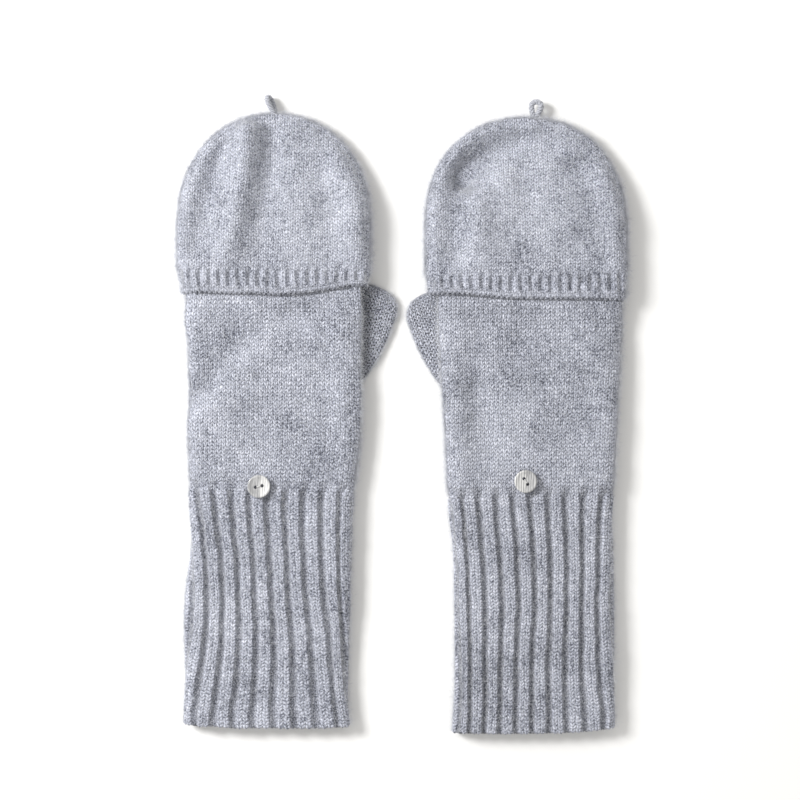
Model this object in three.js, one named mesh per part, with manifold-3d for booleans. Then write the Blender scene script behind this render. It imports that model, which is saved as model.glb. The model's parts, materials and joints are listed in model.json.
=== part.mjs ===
// A pair of convertible flip-top mittens in fine grey knit, laid flat with the backs of the hands up.
// Millimetres, +Z up from the table. Every mitten is modelled in a frame of its own: its origin is on the table
// below the middle of the cap's fold line, +X points to the thumb side and +Y to the fingertips.
import * as THREE from "three";
import { ParametricGeometry } from "three/addons/geometries/ParametricGeometry.js";
import { mergeVertices } from "three/addons/utils/BufferGeometryUtils.js";
import Module from "manifold-3d";

// Fabric
const KNIT = 1.25; // thickness of the plain stockinette
const BAND_RIB = 1.9; // thickness of the rib on the cap's mouth
const CUFF_RIB = 2.3; // thickness of the deep rib of the cuff
const GAP = 0.3; // clearance between neighbouring pieces

// Lengths along the hand, from the fold line
const CUFF_END = -219.5;
const CUFF_EDGE = 2.4; // the cast-on edge below the rib
const WRIST = -101; // where the rib of the cuff ends and the plain knit starts
const KNUCKLES = 6; // where the hand divides into four fingers
const BAND = 13; // depth of the rib band round the cap's mouth
const DOME_START = 35; // where the cap begins to round off
const CAP_LENGTH = 88.5;
const FINGERS = [
  { name: "index_finger", width: 21.4, length: 30 },
  { name: "middle_finger", width: 21.4, length: 33 },
  { name: "ring_finger", width: 20.4, length: 31 },
  { name: "little_finger", width: 18.8, length: 26 },
];

// Widths
const CUFF_HALF = 40.2;
const MOUTH_HALF = 46.4; // half the width of the cap at its mouth
const MOUTH_FLARE = 18; // over this length the cap widens from its mouth
const DOME_POWER = 2.25; // exponent of the superellipse that rounds the cap
const SIDE_FOLD = 7; // how far the rounded side folds reach in from the edge
const FINGER_FOLD = 3.6;

// Heights above the table
const CUFF_TOP = 10.2;
const HAND_TOP = 10;
const FINGER_BOTTOM = 2.8; // the fingers lie on the palm side of the cap
const FINGER_TOP = 10.4;
const CAP_TOP = 12.7;
const CAP_SAG = 4.4; // how far the cap falls in beyond the fingertips

// Thumb, which lies flat below the thumb side of the palm
const THUMB = {
  root: new THREE.Vector2(22.2, -59.4),
  lean: THREE.MathUtils.degToRad(26.3), // outwards from the length of the hand
  length: 70.4,
  half: 12.8,
  rootHalf: 7,
  gusset: 28, // length over which the gusset widens
  swingIn: THREE.MathUtils.degToRad(12), // how far it can turn under the palm
  swingOut: THREE.MathUtils.degToRad(5.5), // and away from it
  outerRound: 8,
  innerRound: 15,
  height: 3.6,
};
const THUMB_HOLE = { along: 20, halfLength: 11, halfWidth: 6.5 };
const THUMB_LIFT = THUMB.height + GAP; // how far the layers above the thumb are raised
const THUMB_FADE = 14; // how far round the thumb the raised fabric takes to come down

// Button, thread and loop
const BUTTON = { radius: 5.75, thickness: 1.9, holeRadius: 0.85, holeSpacing: 3.4, underside: 11.6 };
const THREAD = 0.45; // radius of the sewing thread bundle
const LOOP = { cord: 0.95, halfWidth: 1.9, halfLength: 3.5, height: 4.15 };

// Meshing steps
const ROUND_STEPS = 3; // on each rounded side of a flat tube
const FLAT_STEPS = 9; // across its flat middle
const HALF_STEPS = 2 * ROUND_STEPS + FLAT_STEPS;

// Where the two mittens lie, and what differs between them
const SPACING = 128.9; // between the middles of the two fold lines
const STAGGER = 2.6; // how far the right mitten lies below the left one
const SIDES = [
  {
    name: "left",
    mirror: 1,
    leanIn: 0.6, // degrees by which the fingertips lean towards the other mitten
    capHalf: 48.9, // half the cap's greatest width
    capMiddle: 0.4, // how far the cap's middle lies to the thumb side
    button: [-5.6, -97.3],
    holeTurn: 13, // degrees from the width of the hand to the line through the button's holes
    loopX: 0,
    loopTurn: 62, // degrees by which the loop is twisted out of the flat
    loopLean: 17,
  },
  {
    name: "right",
    mirror: -1,
    leanIn: 1.15,
    capHalf: 50.8,
    capMiddle: 1.9,
    button: [4.7, -92.1],
    holeTurn: 58,
    loopX: -4.6,
    loopTurn: 8,
    loopLean: 9,
  },
];

const wasm = await Module();
wasm.setup();

const material = (color, roughness) => new THREE.MeshStandardMaterial({ color, roughness, metalness: 0 });
const yarn = material(0xb6b9c6, 0.95);
const ribYarn = material(0xa9acba, 0.95);
const sewingThread = material(0xc6c8ce, 0.8);
const shell = material(0xdcdcd8, 0.25);

const { clamp, degToRad, smoothstep } = THREE.MathUtils;
const smooth = (t) => smoothstep(t, 0, 1);

function mesh(name, geometry, look) {
  const made = new THREE.Mesh(geometry, look);
  made.name = name;
  return made;
}

// Booleans

function toSolid(geometry) {
  const bare = geometry.clone();
  bare.deleteAttribute("normal");
  bare.deleteAttribute("uv");
  const merged = mergeVertices(bare, 1e-3);
  const vertProperties = new Float32Array(merged.attributes.position.array);
  return new wasm.Manifold(new wasm.Mesh({ numProp: 3, vertProperties, triVerts: new Uint32Array(merged.index.array) }));
}

function toGeometry(solid) {
  const made = solid.getMesh();
  return new THREE.BufferGeometry()
    .setAttribute("position", new THREE.BufferAttribute(made.vertProperties, made.numProp))
    .setIndex(new THREE.BufferAttribute(made.triVerts, 1));
}

const cut = (geometry, cutter) => toGeometry(toSolid(geometry).subtract(toSolid(cutter)));

// Layers of knit. A layer says, for each place, how wide the fabric is and how high its two faces lie.

// 1 over the thumb wherever it can turn to, falling to 0 away from it
function thumbCover(x, y) {
  const from = new THREE.Vector2(x, y).sub(THUMB.root);
  const bearing = clamp(Math.atan2(from.x, from.y), THUMB.lean - THUMB.swingIn, THUMB.lean + THUMB.swingOut);
  const axis = new THREE.Vector2(Math.sin(bearing), Math.cos(bearing));
  const along = clamp(from.dot(axis), THUMB.rootHalf, THUMB.length - THUMB.half);
  const away = from.distanceTo(axis.multiplyScalar(along)) - THUMB.half;
  return 1 - smooth(away / THUMB_FADE);
}

const raised = (x, y) => THUMB_LIFT * thumbCover(x, y);

const cuffSide = (y) => CUFF_HALF + 1.3 * smooth((CUFF_END + 28 - y) / 28);
const handSide = (y) => CUFF_HALF + 0.6 + 2.2 * smooth((y + 104) / 34) + 1.2 * smooth((y + 60) / 45) - smooth((y + 7) / 6);

const cuffLayer = { side: cuffSide, fold: SIDE_FOLD, wall: CUFF_RIB, bottom: () => 0, top: () => CUFF_TOP };
const handLayer = {
  side: handSide,
  fold: SIDE_FOLD,
  wall: KNIT,
  bottom: (x, y) => FINGER_BOTTOM * smooth((y + 14) / 12) + raised(x, y),
  top: (x, y) => HAND_TOP + (FINGER_TOP - HAND_TOP) * smooth((y + 14) / 12),
};
const capLayer = {
  fold: SIDE_FOLD,
  bottom: raised,
  top: (x, y) => CAP_TOP - CAP_SAG * smooth((y - 41) / 28),
};

// A point of the upper half of a flat tube's cross-section: u runs from 0 at the thumb side to 1 at the other.
// The second number is 0 at the side folds and 1 on the flat.
function acrossFlat(u, half, fold) {
  const turn = ROUND_STEPS / HALF_STEPS;
  const mirrored = u > 0.5 ? -1 : 1;
  const fromSide = u > 0.5 ? 1 - u : u;
  const round = Math.min(fold, half);
  if (fromSide <= turn) {
    const angle = ((fromSide / turn) * Math.PI) / 2;
    return [mirrored * (half - round + round * Math.cos(angle)), Math.sin(angle)];
  }
  return [mirrored * (half - round) * (1 - (fromSide - turn) / (0.5 - turn)), 1];
}

// A station along a layer: its y, half width, the share of its full thickness, and where its middle lies in x
const plainStation = (layer, y, inset) => ({ y, half: layer.side(y) - inset, full: 1, middle: 0 });

// The place of a point on a layer's skin, inset from the outer face; sign is 1 on the upper half
function onSkin(layer, station, u, sign, inset, parting) {
  const [across, rise] = acrossFlat(u, station.half, layer.fold - inset);
  const x = across + station.middle;
  const low = layer.bottom(x, station.y) + inset;
  const high = layer.top(x, station.y) - inset;
  const half = ((high - low) / 2) * station.full;
  const lift = parting + Math.max(half - parting, 0) * rise;
  return new THREE.Vector3(x, station.y, (low + high) / 2 + sign * lift);
}

// A closed loop round a layer, for u from 0 to 1: over the top and back under the palm
function round(layer, station, u, inset) {
  return u <= 0.5 ? onSkin(layer, station, 2 * u, 1, inset, 0) : onSkin(layer, station, 2 - 2 * u, -1, inset, 0);
}

// A knitted tube that is open at both ends: its outer skin, one rim, its inner skin and the other rim
function tube(layer, stations) {
  const rings = stations.length;
  const geometry = new ParametricGeometry(
    (u, v, target) => {
      const ring = Math.round(v * 2 * rings) % (2 * rings);
      const inner = ring >= rings;
      const place = inner ? 2 * rings - 1 - ring : ring;
      const inset = inner ? layer.wall : 0;
      target.copy(round(layer, stations[place](inset), 1 - (u % 1), inset));
    },
    2 * HALF_STEPS,
    2 * rings,
  );
  return geometry;
}

// A knitted tube that is closed at its far end: outer skin from the tip to the mouth, then the inner skin back
function pouch(layer, stations) {
  const rings = stations.length;
  return new ParametricGeometry(
    (u, v, target) => {
      const ring = Math.round(v * (2 * rings - 1));
      const inner = ring >= rings;
      const place = inner ? ring - rings : rings - 1 - ring;
      const inset = inner ? layer.wall : 0;
      target.copy(round(layer, stations[place](inset), u % 1, inset));
    },
    2 * HALF_STEPS,
    2 * rings - 1,
  );
}

// One face of a flat pouch, back or palm: a box whose thickness follows the fabric
function panel(layer, stationAt, steps, sign) {
  const geometry = new THREE.BoxGeometry(1, 1, 1, HALF_STEPS, steps, 1);
  const position = geometry.attributes.position;
  const corner = new THREE.Vector3();
  for (let i = 0; i < position.count; i++) {
    corner.fromBufferAttribute(position, i);
    const inset = corner.z * sign > 0 ? 0 : layer.wall;
    const place = onSkin(layer, stationAt(corner.y + 0.5, inset), 0.5 - corner.x, sign, inset, GAP / 2);
    position.setXYZ(i, place.x, place.y, place.z);
  }
  return geometry;
}

const evenly = (from, to, count) => Array.from({ length: count }, (_, i) => from + ((to - from) * i) / (count - 1));
const stationsOf = (layer, places) => places.map((y) => (inset) => plainStation(layer, y, inset));

// The hand

function cuff() {
  return tube(cuffLayer, stationsOf(cuffLayer, evenly(CUFF_END + CUFF_EDGE + GAP, WRIST - GAP, 5)));
}

function cuffEdge() {
  return tube(cuffLayer, stationsOf(cuffLayer, [CUFF_END, CUFF_END + CUFF_EDGE]));
}

function thumbHoleCutter() {
  const inThumb = THUMB.height / 2;
  const inHand = (THUMB_LIFT + HAND_TOP) / 2;
  const cutter = new THREE.CylinderGeometry(1, 1, inHand - inThumb, 14, 1).rotateX(Math.PI / 2);
  cutter.scale(THUMB_HOLE.halfWidth, THUMB_HOLE.halfLength, 1);
  return cutter.translate(0, THUMB_HOLE.along, (inThumb + inHand) / 2);
}

const placeThumb = (geometry) => geometry.rotateZ(-THUMB.lean).translate(THUMB.root.x, THUMB.root.y, 0);

function hand() {
  const places = [...evenly(WRIST, -68, 3), ...evenly(-60, -4, 9), 0, KNUCKLES];
  return cut(tube(handLayer, stationsOf(handLayer, places)), placeThumb(thumbHoleCutter()));
}

// The thumb is made along +Y from its root; its two sides round off differently at the tip
function thumb() {
  const layer = { fold: 5, wall: KNIT, bottom: () => 0, top: () => THUMB.height };
  const station = (y, inset) => {
    const length = THUMB.length - inset;
    const widen = THUMB.rootHalf + (THUMB.half - THUMB.rootHalf) * smooth(y / THUMB.gusset);
    const rounding = (radius) => {
      const past = Math.min(Math.max(y - (length - radius), 0) / radius, 1);
      return radius * (1 - Math.sqrt(1 - past * past));
    };
    const outer = widen - inset - rounding(THUMB.outerRound);
    const inner = -widen + inset + rounding(THUMB.innerRound);
    return { y, half: (outer - inner) / 2, full: 1, middle: (outer + inner) / 2 };
  };
  const tipStation = (inset) => {
    const last = station(THUMB.length - inset, inset);
    return { ...last, half: 0, full: 0 };
  };
  const places = [0, 10, 20, 30, 40, 50];
  const tip = [0, 0.45, 0.75, 0.92, 1];
  const stations = [
    ...places.map((y) => (inset) => station(y, inset)),
    ...tip.map((t) => (inset) => station(56 + (THUMB.length - inset - 56) * t, inset)),
    tipStation,
  ];
  stations[stations.length - 2] = (inset) => ({ ...station(THUMB.length - inset - 0.25, inset), full: 0.8 });
  return placeThumb(cut(pouch(layer, stations), thumbHoleCutter()));
}

function fingers(name) {
  const total = FINGERS.reduce((sum, finger) => sum + finger.width, 0) + 0.5 * (FINGERS.length - 1);
  let side = total / 2;
  return FINGERS.map((finger) => {
    const middle = side - finger.width / 2;
    side -= finger.width + 0.5;
    const layer = {
      fold: FINGER_FOLD,
      wall: KNIT,
      bottom: (x, y) => FINGER_BOTTOM + raised(x, y),
      top: () => FINGER_TOP,
    };
    const start = KNUCKLES + GAP;
    const stations = [0, 0.22, 0.5, 1].map((t) => (inset) => ({
      y: start + finger.length * t,
      half: finger.width / 2 - inset,
      full: 1,
      middle,
    }));
    return mesh(`${name}_${finger.name}`, tube(layer, stations), yarn);
  });
}

// The cap: a rib band round its mouth and a domed pouch, each as a back half and a palm half

// The straight part of the cap widens from its mouth
function capSides(side, y, inset) {
  const widened = smooth(y / MOUTH_FLARE);
  const half = MOUTH_HALF + (side.capHalf - MOUTH_HALF) * widened - inset;
  return { y, half, full: 1, middle: side.capMiddle * widened };
}

function capStation(side, t, inset) {
  const straight = 0.28; // share of the steps before the dome
  if (t <= straight) {
    return capSides(side, BAND + GAP + ((DOME_START - BAND - GAP) * t) / straight, inset);
  }
  const angle = (((t - straight) / (1 - straight)) * Math.PI) / 2;
  const along = Math.sin(angle) ** (2 / DOME_POWER);
  const across = Math.max(Math.cos(angle), 0) ** (2 / DOME_POWER);
  return {
    y: DOME_START + (CAP_LENGTH - inset - DOME_START) * along,
    half: t > 1 - 1e-9 ? 0 : (side.capHalf - inset) * across,
    full: Math.sqrt(Math.max(1 - along ** 4, 0)),
    middle: side.capMiddle,
  };
}

function capHalf(side, sign) {
  return panel({ ...capLayer, wall: KNIT }, (t, inset) => capStation(side, t, inset), 9, sign);
}

function capBandHalf(side, sign) {
  const start = GAP / 2;
  const station = (t, inset) => capSides(side, start + (BAND - start) * t, inset);
  return panel({ ...capLayer, wall: BAND_RIB }, station, 5, sign);
}

// The row of stitches that holds the cap's band to the back of the hand
function capSeam() {
  const length = 2 * MOUTH_HALF - 2 * SIDE_FOLD;
  const height = 0.7;
  return new THREE.BoxGeometry(length, 0.8, height).translate(0, -0.75, FINGER_TOP + GAP + height / 2);
}

// The loop at the cap's tip: one turn of cord that starts and ends at the origin and reaches along +Y
function capLoop() {
  const { cord, halfWidth, halfLength } = LOOP;
  const steps = 16;
  const sides = 7;
  return new ParametricGeometry(
    (u, v, target) => {
      const around = 2 * Math.PI * (u % 1);
      const across = 2 * Math.PI * (v % 1);
      const spread = new THREE.Vector3(halfWidth * Math.cos(around), halfLength * Math.sin(around), 0);
      const outward = new THREE.Vector3(Math.cos(around) * halfLength, Math.sin(around) * halfWidth, 0).normalize();
      target.copy(spread).addScaledVector(outward, cord * Math.cos(across));
      target.y += halfLength + cord;
      target.z = cord * Math.sin(across);
    },
    steps,
    sides,
  );
}

// The button and the thread that holds it, about the middle of the button's underside

function buttonDisc() {
  const { radius, thickness, holeRadius, holeSpacing } = BUTTON;
  const bevel = 0.35;
  const outline = new THREE.Shape().absarc(0, 0, radius - bevel, 0, 2 * Math.PI);
  for (const sign of [-1, 1]) {
    outline.holes.push(new THREE.Path().absarc((sign * holeSpacing) / 2, 0, holeRadius + bevel, 0, 2 * Math.PI, true));
  }
  const depth = thickness - 2 * bevel;
  return new THREE.ExtrudeGeometry(outline, {
    depth,
    curveSegments: 10,
    bevelThickness: bevel,
    bevelSize: bevel,
    bevelSegments: 1,
  }).translate(0, 0, bevel);
}

function buttonThread() {
  const { thickness, holeSpacing } = BUTTON;
  const reach = holeSpacing / 2;
  const over = thickness + THREAD + 0.15;
  const path = new THREE.CurvePath();
  const corner = 0.55;
  const points = [
    [-reach, 0.1],
    [-reach, over - corner],
    [-reach + corner, over],
    [reach - corner, over],
    [reach, over - corner],
    [reach, 0.1],
  ].map(([x, z]) => new THREE.Vector3(x, 0, z));
  path.add(new THREE.LineCurve3(points[0], points[1]));
  path.add(new THREE.QuadraticBezierCurve3(points[1], new THREE.Vector3(-reach, 0, over), points[2]));
  path.add(new THREE.LineCurve3(points[2], points[3]));
  path.add(new THREE.QuadraticBezierCurve3(points[3], new THREE.Vector3(reach, 0, over), points[4]));
  path.add(new THREE.LineCurve3(points[4], points[5]));
  const section = new THREE.Shape().absarc(0, 0, THREAD, 0, 2 * Math.PI);
  return new THREE.ExtrudeGeometry(section, { steps: 14, extrudePath: path, curveSegments: 4 });
}

// The wound stalk of thread between the cloth and the button, domed so that the button can tip on it
function buttonShank() {
  const height = BUTTON.underside - HAND_TOP - 2 * GAP;
  const profile = [
    [0, 0],
    [1.3, 0],
    [1.1, 0.5 * height],
    [0.8, 0.85 * height],
    [0, height],
  ].map(([r, z]) => new THREE.Vector2(r, z));
  return new THREE.LatheGeometry(profile, 12).rotateX(Math.PI / 2).translate(0, 0, HAND_TOP + GAP);
}

// The knot on the inside of the cloth, below the button
function buttonKnot() {
  return new THREE.SphereGeometry(1.5, 10, 6).scale(1, 1, 0.35).translate(0, 0, HAND_TOP - KNIT - GAP - 0.55);
}

function mitten(side) {
  const { name } = side;
  const group = new THREE.Group();
  group.add(
    mesh(`${name}_cuff`, cuff(), ribYarn),
    mesh(`${name}_cuff_edge`, cuffEdge(), ribYarn),
    mesh(`${name}_hand`, hand(), yarn),
    mesh(`${name}_thumb`, thumb(), yarn),
    ...fingers(name),
    mesh(`${name}_cap_back`, capHalf(side, 1), yarn),
    mesh(`${name}_cap_palm`, capHalf(side, -1), yarn),
    mesh(`${name}_cap_band_back`, capBandHalf(side, 1), ribYarn),
    mesh(`${name}_cap_band_palm`, capBandHalf(side, -1), ribYarn),
    mesh(`${name}_cap_seam`, capSeam(), sewingThread),
  );

  const loop = mesh(`${name}_cap_loop`, capLoop(), yarn);
  loop.rotation.set(0, degToRad(side.loopTurn), degToRad(side.loopLean), "ZYX");
  loop.position.set(side.loopX, CAP_LENGTH + GAP, LOOP.height);
  group.add(loop);

  const button = new THREE.Group();
  button.position.set(...side.button, BUTTON.underside);
  button.rotation.z = degToRad(side.holeTurn);
  button.add(mesh(`${name}_button`, buttonDisc(), shell), mesh(`${name}_button_thread`, buttonThread(), sewingThread));
  group.add(button);

  const stalk = new THREE.Group();
  stalk.position.set(...side.button, 0);
  stalk.add(
    mesh(`${name}_button_shank`, buttonShank(), sewingThread),
    mesh(`${name}_button_knot`, buttonKnot(), sewingThread),
  );
  group.add(stalk);

  group.scale.x = side.mirror;
  group.rotation.z = -side.mirror * degToRad(side.leanIn);
  group.position.set((-side.mirror * SPACING) / 2, (side.mirror * STAGGER) / 2, 0);
  return group;
}

// The origin is on the table at the middle of the pair
const pair = new THREE.Group();
pair.add(...SIDES.map(mitten));
const middle = new THREE.Box3().setFromObject(pair, true).getCenter(new THREE.Vector3());
pair.position.set(-middle.x, -middle.y, 0);

export default pair;
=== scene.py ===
"""A pair of flip-top mittens in brushed grey yarn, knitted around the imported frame."""

import json
import math

import bmesh
import bpy
import numpy as np
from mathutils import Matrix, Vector

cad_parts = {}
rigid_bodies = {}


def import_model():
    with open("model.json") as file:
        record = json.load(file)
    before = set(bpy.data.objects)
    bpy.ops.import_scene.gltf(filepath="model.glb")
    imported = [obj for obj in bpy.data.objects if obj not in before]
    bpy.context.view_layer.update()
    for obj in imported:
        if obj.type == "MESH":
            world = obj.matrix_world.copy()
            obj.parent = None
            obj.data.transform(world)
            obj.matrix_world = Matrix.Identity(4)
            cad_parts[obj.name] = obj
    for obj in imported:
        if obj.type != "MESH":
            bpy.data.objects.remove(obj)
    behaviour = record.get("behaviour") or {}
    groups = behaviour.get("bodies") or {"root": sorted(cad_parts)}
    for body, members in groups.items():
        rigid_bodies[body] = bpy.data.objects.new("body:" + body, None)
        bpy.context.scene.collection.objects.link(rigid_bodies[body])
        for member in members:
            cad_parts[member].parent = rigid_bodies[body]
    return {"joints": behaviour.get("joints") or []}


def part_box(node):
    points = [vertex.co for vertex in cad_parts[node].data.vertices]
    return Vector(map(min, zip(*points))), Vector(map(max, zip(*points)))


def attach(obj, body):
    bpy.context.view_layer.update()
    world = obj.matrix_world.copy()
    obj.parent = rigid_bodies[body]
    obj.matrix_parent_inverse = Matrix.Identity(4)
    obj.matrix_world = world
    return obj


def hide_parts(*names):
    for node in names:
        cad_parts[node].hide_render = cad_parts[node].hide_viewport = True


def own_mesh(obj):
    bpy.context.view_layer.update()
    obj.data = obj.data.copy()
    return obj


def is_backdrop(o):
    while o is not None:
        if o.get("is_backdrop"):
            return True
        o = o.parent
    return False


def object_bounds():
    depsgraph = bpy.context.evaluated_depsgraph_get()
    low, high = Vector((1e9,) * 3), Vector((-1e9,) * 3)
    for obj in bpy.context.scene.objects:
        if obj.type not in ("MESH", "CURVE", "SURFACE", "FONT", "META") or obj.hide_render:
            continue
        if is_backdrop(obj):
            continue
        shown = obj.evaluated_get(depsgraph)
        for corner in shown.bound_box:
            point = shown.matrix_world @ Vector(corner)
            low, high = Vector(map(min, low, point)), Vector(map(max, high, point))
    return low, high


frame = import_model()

cad_low, cad_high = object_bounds()

MM = 0.001
CAD = (cad_low + cad_high) / 2

# ---- Camera

LENS = 100  # millimetres, on a sensor 36 mm wide
SENSOR = 36
VIEW_WIDTH = 0.402  # metres across the picture at the height of the table
VIEW_MIDDLE = (CAD.x - 0.001, CAD.y + 0.0085)


def add_camera():
    data = bpy.data.cameras.new("camera")
    data.lens = LENS
    data.sensor_width = SENSOR
    camera = bpy.data.objects.new("camera", data)
    camera.location = (*VIEW_MIDDLE, VIEW_WIDTH * LENS / SENSOR)
    bpy.context.scene.collection.objects.link(camera)
    bpy.context.scene.camera = camera


add_camera()

# ---- Sizes, in millimetres in each mitten's own frame
# x runs to the thumb side and y to the fingertips, from the fold that the cap turns on

HAND_COURSE = 1.92  # height of one row of stitches
CUFF_COURSE = 1.68
CAP_COURSE = 1.68
THUMB_COURSE = 1.75
SLANT = 0.7  # courses that a stitch's two legs climb from its middle to its sides
RELIEF = 0.5  # height of the yarn's legs over the gaps between them
ROWS = 4  # rows of vertices to a course
COLUMNS = 5  # columns of vertices to a wale
GLOVE_WALES = 76  # columns of stitches round the hand and the cuff
CAP_WALE = 2.45
RIB_REPEAT = 4  # wales: two knitted, two purled
RIB_KNITTED = 0.66  # share of a repeat's width that the two knitted wales take
RIB_DEPTH = 2.0
BAND_REPEAT = 2  # one knitted, one purled
TABLE_GAP = 0.05  # the cloth's lowest points lie this far above the table
CLOTH_FLOOR = 0.15  # and its underside, before its stitches, this far
HAND_TOP = 9.3
HAND_RAISED = 2.8  # how far the hand's end is off the table, inside the cap
FINGER_FLOOR = 2.95
FINGER_TOP = 9.6
CAP_TOP = 12.6
CAP_RIM = 6.3  # height of the cap's outline
EDGE_FOLD = 8.5  # how far from its edge a flat tube turns over
EDGE_POWER = 2.3  # how full that turn is: 2 is an ellipse
TUBE_LIP = 0.45  # how far a tube's rim rounds out past its end, in wall thicknesses
POUCH_LIP = 0.3

CUFF_END = -216.8
RIB_START = -97.5  # where the rib begins below the plain knit
JOIN = -95  # where the cuff's mesh meets the hand's
HAND_END = 6
BAND = 12.6
DOME_START = 35
FINGERS = [
    ("index_finger", 21.4, 30),
    ("middle_finger", 21.4, 33),
    ("ring_finger", 20.4, 31),
    ("little_finger", 18.8, 26),
]
FINGER_GAP = 0.5
FINGER_SUNK = 0.6  # how far the fingers stand in the end of the hand's tube
THUMB_ROOT = np.array([22.2, -59.4])
THUMB_LEAN = math.radians(26.3)
THUMB_LENGTH = 70.4
THUMB_HALF = 12.8
THUMB_SWING = (math.radians(12), math.radians(5.5))
THUMB_LIFT = 4.05  # how far the cloth right above the thumb is raised
THUMB_TOP = 3.65
THUMB_MIDDLE = 1.85  # height of its middle, and half its thickness
THUMB_THICK = 1.75
THUMB_OUTER = 14.5  # how its tip is rounded at each side
THUMB_INNER = 9.3
THUMB_WALES = 24
THUMB_PAINTED_SHADOW = (CAD.x - 0.0235, CAD.x - 0.0125)  # where along x the painted shadow of the hand's edge on the left thumb fades to light
FINGER_WALES = 22

# How many fibres of the fuzz and of the halo each skin has, and how long they get
FIBRES = {
    "cuff": (11000, 7000, 4.2),
    "hand": (10000, 6500, 4.2),
    "cap": (12000, 6500, 4.2),
    "thumb": (3500, 1800, 2.0),
}

# Each wall's thickness, and how many rows of vertices its lining has
WALLS = {
    "cuff": (1.9, 14),
    "hand": (1.3, 14),
    "band": (1.7, 8),
    "cap": (1.3, 24),
    "thumb": (0.9, 16),
    "finger": (1.1, 12),
}
CAP_ROWS = 290
CAP_COLUMNS = (250, 70)  # columns of vertices over the cap's back and under its palm side

# Each side's outline as (y, outer edge, thumb edge), and what differs between the two mittens
SIDES = {
    "left": {
        "outline": [
            (-220, -42.0, 41.4), (-204, -41.5, 39.3), (-179, -41.6, 38.9), (-154, -41.7, 40.2),
            (-129, -39.3, 40.3), (-104, -40.1, 41.0), (-79, -41.2, 43.6), (-29, -41.3, 44.3),
            (-4, -43.0, 44.2), (6, -42.9, 43.6),
        ],
        "cap_half": 48.2,
        "cap_middle": 0.4,
        "cap_tip": 88.9,
        "dome_power": 2.12,
        "mouth": (-45.6, 47.2),
        "seam": [(-47, -1.0), (-43, -0.7), (-15, -0.6), (18, -0.1), (30, 2.0), (39, 3.3), (47, 3.8)],
        "ribs": [
            (-99, 0.2, -0.2, 0.1), (-124, 2.6, 0.9, 0.7), (-139, 5, 2.7, 1.7), (-154, 7.4, 4.3, 3.2),
            (-169, 7.6, 6, 6), (-184, 6.3, 6.4, 7.4), (-211, 3, 5.1, 8.6),
        ],
        "band_shift": -1.0,
        "loop_x": 0.4,
        "loop_length": 11.4,
        "loop_turn": 66,
        "loop_lean": 24,
        "hole_turn": 13,
        "seed": 3,
    },
    "right": {
        "outline": [
            (-220.5, -37.2, 43.4), (-202, -37.3, 41.7), (-177, -37.8, 40.6), (-152, -37.9, 40.6),
            (-127, -38.3, 40.9), (-102, -38.6, 42.7), (-77, -40.3, 43.6), (-27, -44.4, 45.6),
            (-4, -45.3, 46.2), (6, -44.8, 45.6),
        ],
        "cap_half": 50.4,
        "cap_middle": 1.9,
        "cap_tip": 89.6,
        "dome_power": 2.22,
        "mouth": (-47.3, 51.0),
        "seam": [(-48, -1.8), (-38, -1.6), (-14, -0.8), (10, 0), (34, 2.2), (46, 2.7), (51, 2.8)],
        "ribs": [
            (-99, 3.5, 3.1, 1.6), (-122, 4.05, 2.35, 1.3), (-139, 4.2, 2.15, 0.9), (-154, 4.9, 2, 0.6),
            (-168, 5.1, 3, 1.1), (-182, 5.3, 3.9, 1.3), (-209, 3.7, 3.4, 0.5),
        ],
        "band_shift": -0.8,
        "loop_x": -3.8,
        "loop_length": 10.2,
        "loop_turn": 8,
        "loop_lean": 9,
        "hole_turn": 58,
        "seed": 8,
    },
}

# Folds and hollows in the cloth: points of the line, height (or depth, below 0) and half width
CREASES = {
    "left_cap": [
        ([(-13, 84), (-14, 64), (-17, 45), (-22, 20)], 4.9, 6.5),
        ([(-3, 82), (-1.5, 66), (-4, 46), (-7, 18)], -3.4, 7.0),
        ([(-26, 74), (-29, 60), (-34, 44), (-38, 22)], -4.2, 5.5),
        ([(31, 66), (39, 46), (41, 16)], 2.6, 5.5),
        ([(24, 62), (28, 38), (28, 20)], -2.2, 7.0),
        ([(6, 60), (12, 40)], 1.0, 9.0),
    ],
    "right_cap": [
        ([(32, 62), (19, 72), (4, 78), (-12, 78)], -7.4, 8.0),
        ([(30, 64), (35, 52), (37, 38), (38, 20)], -4.4, 7.0),
        ([(28, 44), (25, 30), (22, 20)], 3.2, 8.0),
        ([(12, 62), (11, 44)], 1.2, 6.0),
        ([(2, 66), (2, 46)], -1.5, 6.0),
        ([(-36, 60), (-42, 36), (-43, 16)], 1.8, 6.0),
        ([(-26, 60), (-30, 36)], -1.6, 8.0),
    ],
    "left_glove": [
        ([(-42, -58), (-31, -44), (-14, -24)], -2.8, 7.0),
        ([(-34, -60), (-22, -46), (-8, -32)], 0.9, 8.0),
        ([(-38, 4), (-40, -30), (-41, -90)], 1.3, 6.0),
        ([(2, -4), (14, -16)], -1.6, 6.0),
        ([(8, -60), (8, -90)], -0.9, 15.0),
        ([(34, -4), (36, -40), (37, -92)], 2.3, 7.0),
        ([(-10, -62), (14, -76)], -0.8, 8.0),
    ],
    "right_glove": [
        ([(36, -14), (37, -60), (36, -92)], 2.0, 6.5),
        ([(35, -32), (29, -52), (25, -66), (27, -86)], -2.9, 8.0),
        ([(6, -24), (16, -40)], -1.2, 7.0),
        ([(-30, 0), (-36, -50), (-37, -92)], 1.8, 8.0),
        ([(0, -60), (-12, -84)], 0.9, 10.0),
    ],
}

# ---- Curves, noise and placing


def smooth(t):
    t = np.clip(t, 0, 1)
    return t * t * (3 - 2 * t)


def unit(vectors):
    return vectors / np.linalg.norm(vectors, axis=-1, keepdims=True)


def walked(steps):
    """Lengths from the start of a line, for the lengths of its steps."""
    return np.concatenate([[0], np.cumsum(steps)])


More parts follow.
